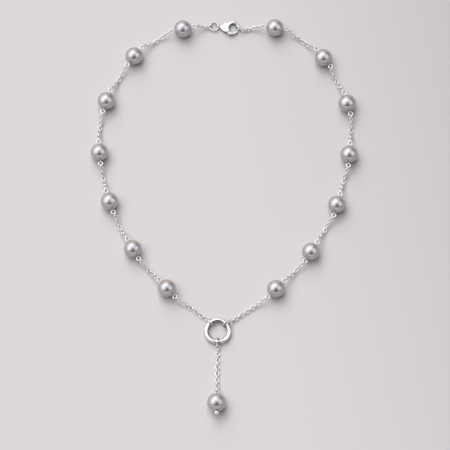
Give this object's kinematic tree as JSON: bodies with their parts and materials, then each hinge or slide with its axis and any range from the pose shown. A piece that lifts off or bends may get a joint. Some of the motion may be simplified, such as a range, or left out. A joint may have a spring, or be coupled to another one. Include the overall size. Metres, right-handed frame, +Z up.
{
  "type": "pearl station necklace",
  "caption": "Fine chain necklace with spaced round pearls, a plain ring at the bottom of the loop, a pearl drop on a short chain below it, and a lobster clasp; lying open.",
  "frame": {"origin": "on the table under the middle of the lying necklace", "axes": "+Z up from the table, +Y from the drop towards the clasp, +X to the right when seen from above with the clasp at the top"},
  "size_m": [0.1266, 0.197, 0.0088],
  "materials": {
    "pearl": "lustrous grey-lavender nacre",
    "wire": "polished silver wire",
    "chain": "polished fine cable chain",
    "ring": "polished silver",
    "clasp": "polished silver, softly rounded"
  },
  "bodies": {
    "necklace": {"pearl_01": "pearl", "pearl_02": "pearl", "pearl_03": "pearl", "pearl_04": "pearl", "pearl_05": "pearl", "pearl_06": "pearl", "pearl_07": "pearl", "pearl_08": "pearl", "pearl_09": "pearl", "pearl_10": "pearl", "pearl_11": "pearl", "pearl_12": "pearl", "pearl_13": "pearl", "pearl_14": "pearl", "drop_pearl": "pearl", "pin_01": "wire", "pin_02": "wire", "pin_03": "wire", "pin_04": "wire", "pin_05": "wire", "pin_06": "wire", "pin_07": "wire", "pin_08": "wire", "pin_09": "wire", "pin_10": "wire", "pin_11": "wire", "pin_12": "wire", "pin_13": "wire", "pin_14": "wire", "head_pin": "wire", "chain_01": "chain", "chain_02": "chain", "chain_03": "chain", "chain_04": "chain", "chain_05": "chain", "chain_06": "chain", "chain_07": "chain", "chain_08": "chain", "chain_09": "chain", "chain_10": "chain", "chain_11": "chain", "chain_12": "chain", "chain_13": "chain", "chain_14": "chain", "chain_15": "chain", "chain_16": "chain", "drop_chain": "chain", "centre_ring": "ring", "ring_link_left": "ring", "ring_link_right": "ring", "ring_link_bottom": "ring", "clasp_ring": "ring", "end_ring": "ring", "clasp_body": "clasp"},
    "lever": {"clasp_lever": "clasp"}
  },
  "joints": [
    {"name": "lever_pivot", "type": "hinge", "parent": "necklace", "child": "lever", "pos_m": [0.0024, 0.0915, 0.0013], "axis": [0, 0, 1], "range_deg": [0, 25], "stiffness_Nm_per_rad": 0.01, "springref_deg": -17.19}
  ]
}
